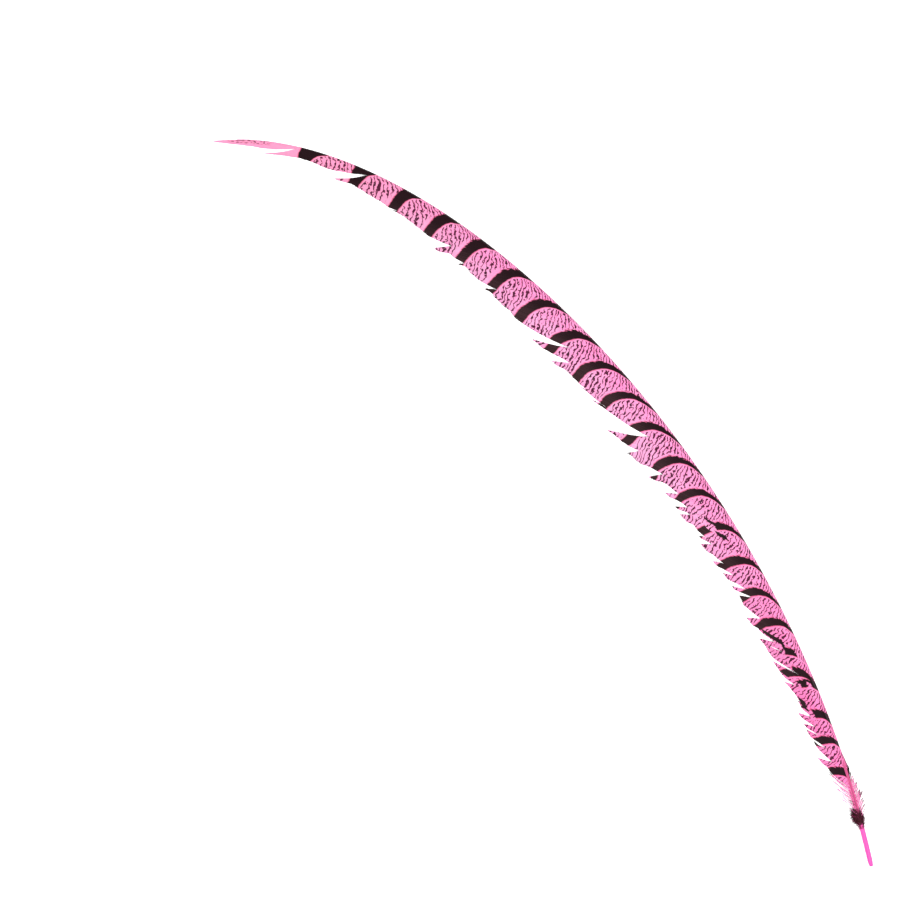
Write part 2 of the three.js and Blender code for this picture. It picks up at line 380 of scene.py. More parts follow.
class Graph:
    """Adds nodes to a tree and links them."""

    COLUMNS = 14

    def __init__(self, tree):
        self.tree = tree

    def socket(self, name, direction, kind):
        """Adds an input or output to the tree itself."""
        self.tree.interface.new_socket(name, in_out=direction, socket_type=f"NodeSocket{kind}")

    def node(self, kind, inputs=None, **settings):
        made = self.tree.nodes.new(kind)
        count = len(self.tree.nodes)
        made.location = 200 * (count % self.COLUMNS), -220 * (count // self.COLUMNS)
        for name, value in settings.items():
            setattr(made, name, value)
        for name, value in (inputs or {}).items():
            self.feed(made.inputs[name], value)
        return made

    def feed(self, socket, value):
        if isinstance(value, Field):
            self.tree.links.new(value.socket, socket)
        else:
            socket.default_value = value

    def out(self, node, name=0):
        return Field(self, node.outputs[name])

    def math(self, operation, *values):
        made = self.node("ShaderNodeMath", operation=operation)
        for socket, value in zip(made.inputs, values):
            self.feed(socket, value)
        return self.out(made)

    def exp(self, value):
        return self.math("EXPONENT", value)

    def sin(self, value):
        return self.math("SINE", value)

    def cos(self, value):
        return self.math("COSINE", value)

    def least(self, a, b):
        return self.math("MINIMUM", a, b)

    def most(self, a, b):
        return self.math("MAXIMUM", a, b)

    def mix(self, a, b, part):
        return a + (b - a) * part

    def ramp(self, value, start, end, low=0.0, high=1.0, smooth=True):
        """Goes from low to high while value goes from start to end, and stays there."""
        made = self.node("ShaderNodeMapRange", {
            "Value": value, "From Min": start, "From Max": end, "To Min": low, "To Max": high,
        }, interpolation_type="SMOOTHSTEP" if smooth else "LINEAR")
        return self.out(made, "Result")

    def band(self, value, start, end, soft):
        """1 between start and end, and 0 outside."""
        rise = self.ramp(value, start - soft, start + soft)
        return rise * self.ramp(value, end + soft, end - soft)

    def colour_mix(self, a, b, part):
        made = self.node("ShaderNodeMix", data_type="RGBA")
        factor, first, second = (made.inputs[i] for i in (0, 6, 7))
        self.feed(factor, part)
        self.feed(first, a)
        self.feed(second, b)
        return self.out(made, 2)

    def vector(self, x, y, z=0.0):
        return self.out(self.node("ShaderNodeCombineXYZ", {"X": x, "Y": y, "Z": z}))

    def split(self, value):
        made = self.node("ShaderNodeSeparateXYZ", {"Vector": value})
        return [self.out(made, axis) for axis in "XYZ"]

    def noise(self, place, scale, detail=2.0, roughness=0.5):
        made = self.node("ShaderNodeTexNoise", {
            "Vector": place, "Scale": scale, "Detail": detail, "Roughness": roughness,
        })
        return self.out(made, "Fac")

    def curve(self, value, pairs, span, height):
        """Reads a list of (place, value) pairs, with places up to span and values up to height."""
        made = self.node("ShaderNodeFloatCurve", {"Value": value / span})
        points = made.mapping.curves[0].points
        while len(points) < len(pairs):
            points.new(0.5, 0.5)
        for point, (place, result) in zip(points, pairs):
            point.location = place / span, result / height
            point.handle_type = "VECTOR"
        made.mapping.update()
        return self.out(made, "Value") * height

    def pick(self, number, values, height):
        """Reads the value with this number out of a list, counting from 1."""
        flat, span = 0.3, len(BARS) + 2.5
        pairs = []
        for i, value in enumerate(values, 1):
            pairs += [(i - flat, value), (i + flat, value)]
        return self.curve(number, pairs, span, height)


# ------------------------------------------------------------------ materials

MAP_NAME = "Markings"
BAKE_MAP = "OFBake"
TONE_NAME = "tone"
ROOT_NAME = "root_from_tip"
MARKINGS = "Feather Markings"
MM_PER_METRE = 1000.0

# The greatest distance from the tip and from the ridge, sweep, bow and bar number that the
# curves in the markings can hold.
LIST_SPAN = 1000.0
RIDGE_SPAN = 50.0
SWEEP_SPAN = 50.0
BOW_SPAN = 2.0
NUMBER_SPAN = 40.0
# Noise stays between these values nearly everywhere.
NOISE_RANGE = (0.35, 0.65)
# How much the finishes mirror.
BARB_SHINE, HORN_SHINE, DULL_SHINE = 0.045, 0.2, 0.1


def nearest_bar(graph, from_tip, from_ridge):
    """How far inside the nearest bar a point is, measured from each of its two edges."""
    fade = graph.exp(graph.most(from_ridge, 0.0) * (-1 / SWEEP_FADE))
    middles = [(upper + lower) / 2 for upper, lower, _, _ in BARS]
    sweeps = [(run + reach) / 2 for _, _, run, reach in BARS]
    typical = [(0.0, sweeps[0])]
    rows = zip([sweeps[0], *sweeps], middles, sweeps, [*sweeps[1:], QUILL_SWEEP])
    for before, middle, here, after in rows:
        sweep = (before + here + after) / 3
        typical.append((middle + sweep / 2, sweep))
    numbers = [(0.0, 0.0), *((middle, i) for i, middle in enumerate(middles, 1))]
    numbers.append((LIST_SPAN, len(BARS) + 5))

    unswept = from_tip - graph.curve(from_tip, typical, LIST_SPAN, SWEEP_SPAN) * fade
    above = graph.math("FLOOR", graph.curve(unswept, numbers, LIST_SPAN, NUMBER_SPAN))
    spans = (LIST_SPAN, LIST_SPAN, SWEEP_SPAN, SWEEP_SPAN)
    inside = []
    for number in (above, above + 1.0):
        number = graph.least(graph.most(number, 1.0), float(len(BARS)))
        upper, lower, run, reach = (
            graph.pick(number, row, span) for row, span in zip(zip(*BARS), spans))
        inside.append((from_tip - upper - run * fade, lower + reach * fade - from_tip))
    first, second = (graph.least(*edges) for edges in inside)
    chosen = graph.math("GREATER_THAN", second, first)
    return [graph.mix(a, b, chosen) for a, b in zip(*inside)]


def ragged_bars(graph, place, from_tip, from_ridge, root):
    """Masks of the bars and their rims, and how far a point is inside the bars' two edges."""
    wander = (graph.noise(place, 0.09) - 0.5) * BAR_WANDER
    bow = graph.curve(from_ridge, BAR_BOW, RIDGE_SPAN, BOW_SPAN)
    bow = bow * graph.band(from_tip, *BOWED_STRETCH)
    into_upper, into_lower = nearest_bar(graph, from_tip + wander + bow, from_ridge)

    # A bar's edge towards the tip is the more ragged one, most of all near the ridge. Its other
    # edge spreads there.
    teeth = graph.vector(from_tip * 0.35, from_ridge + from_tip * 0.6)
    tooth = graph.noise(teeth, 0.75) - 0.5
    near_ridge = graph.ramp(from_ridge, 22.0, 6.0) * graph.ramp(from_tip, 150.0, 330.0)
    upper_tooth = tooth * (UPPER_TEETH + near_ridge * RIDGE_TEETH)
    into_upper = into_upper + upper_tooth + graph.ramp(from_ridge, 1.0, 5.0, 0.3, 1.1)
    into_lower = into_lower + tooth * LOWER_TEETH + graph.ramp(from_ridge, 4.5, 0.5, 0.35, 2.8)
    into = graph.least(into_upper, into_lower)
    bar = graph.ramp(into, -BAR_SOFTNESS, BAR_SOFTNESS)
    rim = graph.band(into, -0.8, 0.4, 0.4) * 0.6
    for start, end, inner, outer, black in BREAKS:
        across = graph.band(from_ridge + tooth * BROKEN_TEETH, inner, outer, 0.4)
        torn = graph.band(root, start, end, 0.3) * across
        bar = graph.mix(bar, float(black), torn)
        rim = rim * (1 - torn)
    return bar, rim, into_upper, into_lower


def ground_colour(graph, colours, place, from_tip, from_ridge):
    """The pink ground: paler towards the vane's edge and the tip, deeper towards the quill."""
    edge = graph.ramp(from_tip, 150.0, 340.0, 19.0, 30.0)
    palest = graph.ramp(from_tip, 150.0, 300.0, 0.75, 0.5)
    palest = palest * graph.ramp(from_tip, 470.0, 690.0, 1.0, 0.25)
    fine = graph.ramp(graph.noise(place, 0.45), *NOISE_RANGE, 0.0, 0.3)
    blotch = graph.ramp(graph.noise(place, 0.05, 3.0), *NOISE_RANGE, -0.12, 0.12)
    pale = graph.ramp(from_ridge, 3.0, edge) * palest + 0.03 + fine + blotch
    pale = graph.most(graph.least(pale, 1.0), 0.0)
    middle = graph.band(from_ridge, 8.0, 22.0, 3.0) * graph.band(from_tip, 655.0, 790.0, 20.0)
    deep = graph.ramp(from_tip, 560.0, 860.0, 0.0, 0.36) + middle * 0.12
    ground = graph.colour_mix(colours.pink, colours.pale_pink, pale)
    ground = graph.colour_mix(ground, colours.tip_pink, graph.ramp(from_tip, 330.0, 60.0, 0.0, 0.9))
    return graph.colour_mix(ground, colours.deep_pink, deep)


def wavy_lines(graph, place, from_tip, from_ridge):
    """Dark lines across the whole vane, as a mask: thick and thin, and broken here and there."""
    bend = (1 - graph.exp(from_ridge * (-1 / LINE_BEND_FADE))) * LINE_BEND
    swept = (from_ridge * LINE_LEAN + bend) * graph.ramp(from_tip, *LINE_SWEEP)
    crossing = (from_tip - swept) / LINE_SPACING
    slow, quick = (graph.noise(place, scale) * size for scale, size in LINE_WAVES)
    stripes = graph.sin((crossing + (slow + quick)) * math.tau)
    weight = graph.noise(place, 0.16, 1.0)
    broken = graph.noise(place, 0.32, 3.0, 0.6)
    thin = graph.ramp(weight, 0.3, 0.7, 0.62, 0.0, smooth=False)
    return graph.ramp(stripes - thin, -0.05, 0.2) * graph.ramp(broken, 0.37, 0.43)


def fine_markings(graph, place, from_tip, from_ridge, into_upper, into_lower):
    """The dark lines between the bars and the speckles at the tip, as a mask."""
    # The lines keep clear of the bars' edges.
    clear_from = graph.ramp(from_tip, 285.0, 340.0, -4.6, -2.4)
    above = graph.band(into_upper, clear_from, 0.2, 0.6) * graph.ramp(from_ridge, 4.0, 14.0)
    below = graph.band(into_lower, -1.9, 0.2, 0.3)
    lines = wavy_lines(graph, place, from_tip, from_ridge)
    lines = lines * (1 - graph.most(above, below)) * graph.ramp(from_tip, *TIP_PLAIN_TO)

    # The speckles are short streaks beside the ridge.
    streaks = graph.noise(graph.vector(from_tip * 0.3, from_ridge), 1.3)
    speckled = graph.ramp(from_ridge, 4.2, 2.8) * graph.band(from_tip, 14.0, 50.0, 3.0)
    speckled = speckled * graph.ramp(streaks, 0.5, 0.6, 0.0, 0.85)
    return graph.most(lines, speckled) * graph.ramp(from_tip, *LINES_FADE)


def markings_group(colours):
    """The feather's markings, from the distances to the tip and to the ridge."""
    graph = Graph(bpy.data.node_groups.new(MARKINGS, "ShaderNodeTree"))
    for name in ("From Tip", "From Ridge", "Root", "Tone"):
        graph.socket(name, "INPUT", "Float")
    graph.socket("Colour", "OUTPUT", "Color")
    graph.socket("Dark", "OUTPUT", "Float")
    given = graph.node("NodeGroupInput")
    from_tip, from_ridge, root = (
        graph.out(given, name) * MM_PER_METRE for name in ("From Tip", "From Ridge", "Root"))
    place = graph.vector(from_tip, from_ridge)
    bar, rim, into_upper, into_lower = ragged_bars(graph, place, from_tip, from_ridge, root)
    ground = ground_colour(graph, colours, place, from_tip, from_ridge)
    ground = graph.colour_mix(ground, colours.rim, rim)
    lines = fine_markings(graph, place, from_tip, from_ridge, into_upper, into_lower)
    darkness = graph.ramp(graph.noise(place, 0.2), 0.45, 0.75)
    line_colour = graph.colour_mix(colours.maroon, colours.black, darkness)
    colour = graph.colour_mix(ground, line_colour, lines * 0.97)

    # The bars turn brown towards the vane's edge, where the barbs are thin.
    thin = graph.ramp(from_ridge, 9.0, 28.0) * graph.mix(0.35, 1.0, graph.out(given, "Tone"))
    bar_colour = graph.colour_mix(colours.black, colours.brown, thin)
    result = graph.node("NodeGroupOutput")
    graph.feed(result.inputs["Colour"], graph.colour_mix(colour, bar_colour, bar))
    graph.feed(result.inputs["Dark"], graph.most(bar, lines))
    return graph.tree


def shared_markings(colours):
    return bpy.data.node_groups.get(MARKINGS) or markings_group(colours)


def new_material(name):
    made = bpy.data.materials.new(name)
    made.use_nodes = True
    return made, Graph(made.node_tree), made.node_tree.nodes["Principled BSDF"]


def finish_surface(graph, shader, colour, roughness, height, depth, shine):
    """Links a material's colour, roughness and bump, and sets how much it mirrors."""
    graph.feed(shader.inputs["Base Color"], colour)
    graph.feed(shader.inputs["Roughness"], roughness)
    bump = graph.node("ShaderNodeBump", {"Height": height, "Strength": 0.3, "Distance": depth})
    graph.feed(shader.inputs["Normal"], graph.out(bump))
    shader.inputs["Specular IOR Level"].default_value = shine


def attribute(graph, name):
    return graph.out(graph.node("ShaderNodeAttribute", attribute_name=name), "Fac")


class Marked:
    """The markings at this point of the surface, and where the point lies in mm."""

    def __init__(self, graph, colours):
        uv = graph.out(graph.node("ShaderNodeUVMap", uv_map=MAP_NAME))
        from_tip, from_ridge, _ = graph.split(uv)
        self.tone = attribute(graph, TONE_NAME)
        group = graph.node("ShaderNodeGroup", {
            "From Tip": from_tip, "From Ridge": from_ridge, "Root": attribute(graph, ROOT_NAME),
            "Tone": self.tone,
        }, node_tree=shared_markings(colours))
        self.colour = graph.out(group, "Colour")
        self.dark = graph.out(group, "Dark")
        self.from_tip = from_tip * MM_PER_METRE
        self.from_ridge = from_ridge * MM_PER_METRE


def vane_material(name, colours, folded):
    """The barbs: marked, matt, each with its own tone, and lightened near the ridge as painted light.
    Folded ones have dark ends, and painted shade on their lower part.
    """
    material, graph, shader = new_material(name)
    marked = Marked(graph, colours)
    colour = marked.colour
    if folded:
        at_quill = graph.ramp(marked.from_tip, *DARK_ENDS_FROM)
        tips = graph.ramp(marked.from_ridge + marked.tone * 3.0, 6.0, 7.6, 0.0, 0.85) * at_quill
        # Away from the quill the folded barbs darken towards their lower part, tucked under the
        # shaft: painted shade in the down's dark colour.
        edge = graph.ramp(marked.from_ridge, 0.8, 2.6, 0.0, 0.45) * (1 - at_quill)
        colour = graph.colour_mix(colour, colours.down, graph.most(tips, edge))
    # Near the ridge the barbs are lightened by up to 14 percent as painted light against the shade
    # there; the rest of the value is each barb's own random tone.
    ridge_painted_light_and_tone = graph.ramp(marked.from_ridge, 1.0, 14.0, 1.14, 1.0) * (0.95 + marked.tone * 0.08)
    shade = graph.node("ShaderNodeHueSaturation", {"Value": ridge_painted_light_and_tone, "Color": colour})
    barbules = graph.noise(graph.vector(marked.from_tip, marked.from_ridge), 4.0, 2.0)
    roughness = graph.mix(0.62, 0.5, marked.dark) + (barbules - 0.5) * 0.1
    finish_surface(graph, shader, graph.out(shade), roughness, barbules, 0.05 * MM, BARB_SHINE)
    return material


def shaft_material(colours):
    """Horn: marked like the vane along its upper side, plain rosy near the quill and below, with a
    dark line painted along its middle near the quill as the shade of a groove.
    """
    material, graph, shader = new_material("Horny Shaft")
    marked = Marked(graph, colours)
    streak = graph.noise(graph.vector(marked.from_tip * 0.04, marked.from_ridge), 1.4, 3.0)
    rosiness = graph.ramp(streak, 0.4, 0.85, 0.0, 0.3)
    rosy = graph.colour_mix(colours.rachis, colours.deep_pink, rosiness)
    # A maroon line along the middle of the shaft's upper and lower sides near the quill is painted
    # shade of a groove; only the underside has a groove in its shape.
    groove = graph.band(marked.from_ridge, 2.0, 2.7, 0.35)
    groove = groove * graph.ramp(marked.from_tip, *GROOVE_SHADE_FROM)
    rosy = graph.colour_mix(rosy, colours.maroon, groove * graph.ramp(streak, 0.3, 0.6) * 0.7)
    quill = graph.colour_mix(colours.quill, colours.pink, graph.ramp(streak, 0.4, 0.75, 0.0, 0.25))
    bare = graph.colour_mix(rosy, quill, graph.ramp(marked.from_tip, *QUILL_FROM))
    plain = graph.most(graph.ramp(marked.from_tip, *SHAFT_PLAIN_FROM), 1 - marked.tone)
    colour = graph.colour_mix(marked.colour, bare, plain)
    finish_surface(graph, shader, colour, graph.mix(0.6, 0.35, plain), streak, 0.2 * MM, HORN_SHINE)
    return material


def down_material(colours):
    """Down: dark strands, some of them pink towards their ends."""
    material, graph, shader = new_material("Down")
    tone = attribute(graph, TONE_NAME)
    beside, part, _ = graph.split(graph.out(graph.node("ShaderNodeUVMap", uv_map=BAKE_MAP)))
    pinkness = graph.ramp(tone, 0.7, 1.0) * graph.ramp(part, 0.2, 0.9, 0.15, 0.8)
    colour = graph.colour_mix(colours.down, colours.deep_pink, pinkness)
    fuzz = graph.noise(graph.vector(beside * 400.0, part * 30.0), 1.0, 2.0)
    finish_surface(graph, shader, colour, 0.75 + fuzz * 0.15, fuzz, 0.05 * MM, DULL_SHINE)
    return material


def table_material():
    material, graph, shader = new_material("Pale Table")
    grain = graph.noise(graph.out(graph.node("ShaderNodeTexCoord"), "Object"), 60.0, 4.0)
    colour = graph.colour_mix((0.94, 0.94, 0.94, 1), (0.97, 0.97, 0.97, 1), grain)
    finish_surface(graph, shader, colour, 0.85 + grain * 0.1, grain, 0.02 * MM, DULL_SHINE)
    return material


# ------------------------------------------------------------------ growing strands with nodes

BAKE_ROWS = 4
LINE_NAME = "Shaft Line"
BLANK_NAME = "blank"
# Nothing comes closer to the table than this.
TABLE_CLEARANCE = 0.03 * MM
# The gap between the shaft's surface and the roots of the barbs.
SHAFT_GAP = 0.3 * MM

BARB_FIELDS = (
    "along", "reach", "root_angle", "edge_angle", "split_at", "spread", "lift", "girth",
    "ridge_offset", TONE_NAME,
)
DOWN_FIELDS = (
    "along", "reach", "angle", "left", "up", "rise", "curl", "phase", "turns", "slot", TONE_NAME,
)


def guide_line(line, sections):
    """A row of vertices along the shaft that carries the vane's root and foot at each place."""
    step = 2 * MM
    count = math.ceil(line.length / step)
    places = [line.length * i / count for i in range(count + 1)]
    mesh = bpy.data.meshes.new(LINE_NAME)
    vertices = [line.place(along, 0, 0) for along in places]
    mesh.from_pydata(vertices, [(i, i + 1) for i in range(count)], [])
    for part, name in enumerate(("root", "foot")):
        layer = mesh.attributes.new(name, "FLOAT_VECTOR", "POINT")
        values = [sections(along)[part] for along in places]
        layer.data.foreach_set("vector", [number for value in values for number in value])
    return add_object(LINE_NAME, mesh)


def root_points(name, strands, fields):
    """One vertex for each strand, with the strand's own sizes as attributes."""
    mesh = bpy.data.meshes.new(name)
    mesh.from_pydata([(0.0, 0.0, 0.0)] * len(strands), [], [])
    for field in fields:
        layer = mesh.attributes.new(field, "FLOAT", "POINT")
        layer.data.foreach_set("value", [strand[field] for strand in strands])
    return add_object(name, mesh)


class StrandTree(Graph):
    """A tree that turns every root point into a closed strand and lays it along the shaft."""

    def __init__(self, name, sizes):
        super().__init__(bpy.data.node_groups.new(name, "GeometryNodeTree"))
        self.socket("Geometry", "INPUT", "Geometry")
        self.socket("Line", "INPUT", "Object")
        self.socket("Material", "INPUT", "Material")
        self.socket("Segments", "INPUT", "Int")
        for size in sizes:
            self.socket(size, "INPUT", "Float")
        self.socket("Geometry", "OUTPUT", "Geometry")
        self.given = self.node("NodeGroupInput")

    def setting(self, name):
        return self.out(self.given, name)

    def named(self, name, kind="FLOAT"):
        made = self.node("GeometryNodeInputNamedAttribute", {"Name": name}, data_type=kind)
        return self.out(made, "Attribute")

    def store(self, geometry, name, value, kind, domain="POINT"):
        made = self.node("GeometryNodeStoreNamedAttribute", {
            "Geometry": geometry, "Name": name, "Value": value,
        }, data_type=kind, domain=domain)
        return self.out(made)

    def store_map(self, geometry, name, u, v):
        return self.store(geometry, name, self.vector(u, v), "FLOAT2", "CORNER")

    def blank(self):
        """A plain closed bar whose long edges stay sharp, remembering its own coordinates."""
        cube = self.node("GeometryNodeMeshCube", {
            "Size": (1, 1, 1), "Vertices X": self.setting("Segments"), "Vertices Y": 2,
            "Vertices Z": 2,
        })
        ends = self.node("GeometryNodeInputMeshEdgeVertices")
        start, end = (self.split(self.out(ends, name))[0] for name in ("Position 1", "Position 2"))
        lengthwise = self.math("GREATER_THAN", self.math("ABSOLUTE", start - end), 0.001)
        smooth = self.node("GeometryNodeSetShadeSmooth", {
            "Geometry": self.out(cube, "Mesh"), "Shade Smooth": True,
        }, domain="FACE")
        sharp = self.node("GeometryNodeSetShadeSmooth", {
            "Geometry": self.out(smooth), "Selection": lengthwise, "Shade Smooth": False,
        }, domain="EDGE")
        position = self.out(self.node("GeometryNodeInputPosition"))
        return self.store(self.out(sharp), BLANK_NAME, position, "FLOAT_VECTOR")

    def strands(self):
        """A blank at every root point, with the blank's part along, side and top."""
        spots = self.node("GeometryNodeInstanceOnPoints", {
            "Points": self.setting("Geometry"), "Instance": self.blank(),
        })
        real = self.node("GeometryNodeRealizeInstances", {"Geometry": self.out(spots)})
        x, side, top = self.split(self.named(BLANK_NAME, "FLOAT_VECTOR"))
        return self.out(real), x + 0.5, side, top

    def section_at(self, along):
        """The shaft's centre and direction, and the vane's root and foot, at a place."""
        line = self.node("GeometryNodeObjectInfo", {"Object": self.setting("Line")})
        curve = self.out(self.node("GeometryNodeMeshToCurve", {"Mesh": self.out(line, "Geometry")}))
        samples = [
            self.node("GeometryNodeSampleCurve", {
                "Curves": curve, "Value": self.named(name, "FLOAT_VECTOR"), "Length": along,
            }, data_type="FLOAT_VECTOR", mode="LENGTH", use_all_curves=True)
            for name in ("root", "foot")
        ]
        root, foot = (self.split(self.out(sample, "Value")) for sample in samples)
        centre = self.split(self.out(samples[0], "Position"))
        forward = self.split(self.out(samples[0], "Tangent"))
        return centre, forward, root, foot

    def lay(self, strands, centre, forward, left, up):
        """Moves the strands to their place beside the shaft, never below the table."""
        up = self.most(up, TABLE_CLEARANCE)
        place = self.vector(centre[0] - forward[1] * left, centre[1] + forward[0] * left, up)
        moved = self.node("GeometryNodeSetPosition", {"Geometry": strands, "Position": place})
        return self.out(moved)

    def finish(self, geometry):
        real = self.node("GeometryNodeRealizeInstances", {"Geometry": geometry})
        painted = self.node("GeometryNodeSetMaterial", {
            "Geometry": self.out(real), "Material": self.setting("Material"),
        })
        result = self.node("NodeGroupOutput")
        self.feed(result.inputs["Geometry"], self.out(painted))
        return self.tree


# How softly a loose barb bends at the root of its gap.
HINGE_SOFTNESS = 0.0006
# The part of its length where a barb starts to taper, and the width that its end has left.
TAPER_FROM, END_WIDTH = 0.92, 0.3


def barb_tree():
    """Barbs that leave the shaft at one angle and bend towards another."""
    graph = StrandTree("Barbs Along Shaft", (
        "Shaft Length", "Width", "Thickness", "Overlap Tilt", "Touchdown", "Folded", "Row Length",
        "Longest",
    ))
    barbs, part, side, top = graph.strands()
    along0, reach = graph.named("along"), graph.named("reach")
    root_angle, edge_angle = graph.named("root_angle"), graph.named("edge_angle")
    spread = graph.named("spread")

    # The course of the barb's middle line.
    late = part * part * 0.5
    early = part - late
    run_along = reach * (early * graph.cos(root_angle) + late * graph.cos(edge_angle))
    run_across = reach * (early * graph.sin(root_angle) + late * graph.sin(edge_angle))
    angle = graph.mix(root_angle, edge_angle, part)

    # A loose barb swings away beyond the root of its gap.
    beyond = part - graph.named("split_at")
    opened = (graph.math("SQRT", beyond * beyond + HINGE_SOFTNESS) + beyond) * 0.5
    swing = spread * reach * opened
    swung_angle = angle + spread * graph.ramp(beyond, -0.05, 0.1)

    taper = graph.ramp(part, 1.0, TAPER_FROM, END_WIDTH, 1.0, smooth=False)
    width = graph.setting("Width") * graph.named("girth") * taper
    offset = side * width
    along = along0 + run_along - (swing + offset) * graph.sin(swung_angle)
    across = run_across + (swing + offset) * graph.cos(swung_angle)
    centre, forward, root, foot = graph.section_at(along)

    # Across the vane the barbs slope from the shaft down to the table.
    reference, folded = root[2], graph.setting("Folded")
    share = across / reference
    flat_drop = graph.ramp(share, 0.0, graph.setting("Touchdown"))
    drop = graph.mix(flat_drop, graph.least(share, 1.0), folded)
    slope_left, slope_up = (foot[0] - root[0]) / reference, (foot[1] - root[1]) / reference
    tilt = graph.math("TANGENT", graph.setting("Overlap Tilt"))
    height = top * graph.setting("Thickness") + offset * tilt
    height = height + graph.named("lift") * part * part
    left = graph.mix(root[0], foot[0], share) - slope_up * height * folded
    up = graph.mix(root[1], foot[1], drop) + height * graph.mix(1.0, slope_left, folded)
    placed = graph.lay(barbs, centre, forward, left, up)

    # The markings stay on the barb wherever it swings.
    root_from_tip = graph.setting("Shaft Length") - along0
    from_tip = root_from_tip - run_along + offset * graph.sin(angle)
    from_ridge = graph.named("ridge_offset") + run_across + offset * graph.cos(angle)
    marked = graph.store(placed, ROOT_NAME, root_from_tip, "FLOAT")
    marked = graph.store_map(marked, MAP_NAME, from_tip, from_ridge)

    # A second map with the barbs side by side in rows.
    row_length, longest = graph.setting("Row Length"), graph.setting("Longest")
    rows = along0 / row_length
    row = graph.math("FLOOR", rows)
    shifted = (side * 0.8 + top * 0.2) * width / graph.sin(root_angle) / row_length
    beside = (rows - row) * 0.99 + 0.005 + shifted * 0.9
    upward = (row + 0.02 + 0.95 * part * reach / longest + top * 0.006) / float(BAKE_ROWS)
    return graph.finish(graph.store_map(marked, BAKE_MAP, beside, upward))


# The height above the table at which the strands of down end.
DOWN_END_HEIGHT = 0.3 * MM
# The strands start to rise over the shaft this far beside it, and have risen this far inside it.
NEAR_SHAFT, OVER_SHAFT = 1.5 * MM, 0.2 * MM


def down_tree():
    """Curly strands of down that stand off the quill."""
    graph = StrandTree("Down Beside Quill", (
        "Width", "Thickness", "Side", "Count", "Radius", "Axis Height",
    ))
    strands, part, side, top = graph.strands()
    reach, angle, hand = graph.named("reach"), graph.named("angle"), graph.setting("Side")
    turn = graph.named("phase") + part * graph.named("turns")
    curl = graph.named("curl") * part
    width = graph.setting("Width") * graph.ramp(part, 1.0, 0.2, 0.25, 1.0, smooth=False)
    swing = curl * graph.sin(turn) + side * width
    out = graph.named("left") + reach * part * graph.sin(angle) + swing * graph.cos(angle)
    along = graph.named("along") + reach * part * graph.cos(angle) - swing * graph.sin(angle)
    centre, forward, _, _ = graph.section_at(along)
    arch = graph.sin(part * math.pi) * graph.named("rise")
    thickness = top * graph.setting("Thickness")
    up = graph.mix(graph.named("up"), DOWN_END_HEIGHT, graph.ramp(part, 0.0, 0.9)) + arch
    up = up + curl * 0.5 * graph.cos(turn * 1.3) + thickness

    # The strands lie over the shaft and not inside it.
    radius = graph.setting("Radius")
    crown = graph.math("SQRT", graph.most(radius * radius - out * out, 0.0))
    beside_shaft = graph.ramp(out, radius + NEAR_SHAFT, radius - OVER_SHAFT)
    surface = (graph.setting("Axis Height") + crown) * beside_shaft
    up = graph.most(up, surface + thickness)
    placed = graph.lay(strands, centre, forward, out * hand, up)
    beside = graph.named("slot") + (side * 0.6 + top * 0.3) / graph.setting("Count")
    upward = 0.02 + part * 0.95 + top * 0.01
    return graph.finish(graph.store_map(placed, BAKE_MAP, beside, upward))


def grow(points, tree, settings):
    """Runs a tree on an object and keeps the result as a plain mesh."""
    modifier = points.modifiers.new("Grow", "NODES")
    modifier.node_group = tree
    for item in tree.interface.items_tree:
        if item.in_out == "INPUT" and item.name in settings:
            modifier[item.identifier] = settings[item.name]
    bpy.context.view_layer.update()
    evaluated = points.evaluated_get(bpy.context.evaluated_depsgraph_get())
    mesh = bpy.data.meshes.new_from_object(evaluated)
    points.modifiers.remove(modifier)
    rest = points.data
    points.data = mesh
    bpy.data.meshes.remove(rest)
    mesh.name = points.name
    spent = {BLANK_NAME, *BARB_FIELDS, *DOWN_FIELDS} - {TONE_NAME}
    for name in spent.intersection(mesh.attributes.keys()):
        mesh.attributes.remove(mesh.attributes[name])
    return points


def deliver(piece, node):
    """Hands a finished piece to the frame."""
    if not piece.data.polygons:
        raise RuntimeError(f"{piece.name} has no faces")
    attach(piece, "root")
    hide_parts(node)


# ------------------------------------------------------------------ laying out barbs

# How far the tufts beyond a gap swing, one after the other, as parts of the first one's swing.
TUFT_SWINGS = (1.0, 0.97, 0.95, 0.91, 0.88, 0.82, 0.75, 0.62, 0.45, 0.25)
# Loose barbs spread their barbules, by this much for every radian of their swing.
LOOSE_GIRTH = 1.7
# How far the root of the gap moves out along its last tuft.
LOOSE_CREEP = 0.35
# The barbs before a gap lean away from it: over this stretch, by this part of the swing.
LEAN_STRETCH = 4 * MM
LEAN_SWING = 0.1
# A gap's root lies on barbs that run on beyond it, at less than this part of their length.
WHOLE_PART = 0.9
PASS_STEPS = 50
# The barbs whose roots lie up to this far towards the quill from a gap's root can pass it.
PASS_WINDOW = 90 * MM
# The reach that a barb's fitting to the outline starts with, and the rounds that fitting and
# aiming a barb take.
FIRST_REACH = 20 * MM
FIT_ROUNDS = 12
AIM_ROUNDS = 8

# Small gaps open along the vane's edge from this far from the tip to this far from the quill
# end, and between these distances from the tip the edge goes from sound to worn.
SMALL_GAPS_FROM_TIP = 150 * MM
SMALL_GAPS_END = 70 * MM
WORN_EDGE = (420 * MM, 540 * MM)
# Ranges for a sound and for a worn edge: the small gaps' spacing in mm, the part of the barb
# where they start, their swing in degrees and the loose stretch in mm.
GAP_SPACING = ((7, 16), (4, 9))
GAP_START = ((0.88, 0.96), (0.74, 0.92))
GAP_SWING = ((2, 6), (6, 16))
GAP_STRETCH = ((1.5, 3), (3, 6))


def barb_course(barb, part):
    """How far along and across a barb has come at a part of its length."""
    late = part * part / 2
    early = part - late
    root, edge, reach = barb["root_angle"], barb["edge_angle"], barb["reach"]
    run_along = reach * (early * math.cos(root) + late * math.cos(edge))
    run_across = reach * (early * math.sin(root) + late * math.sin(edge))
    return run_along, run_across


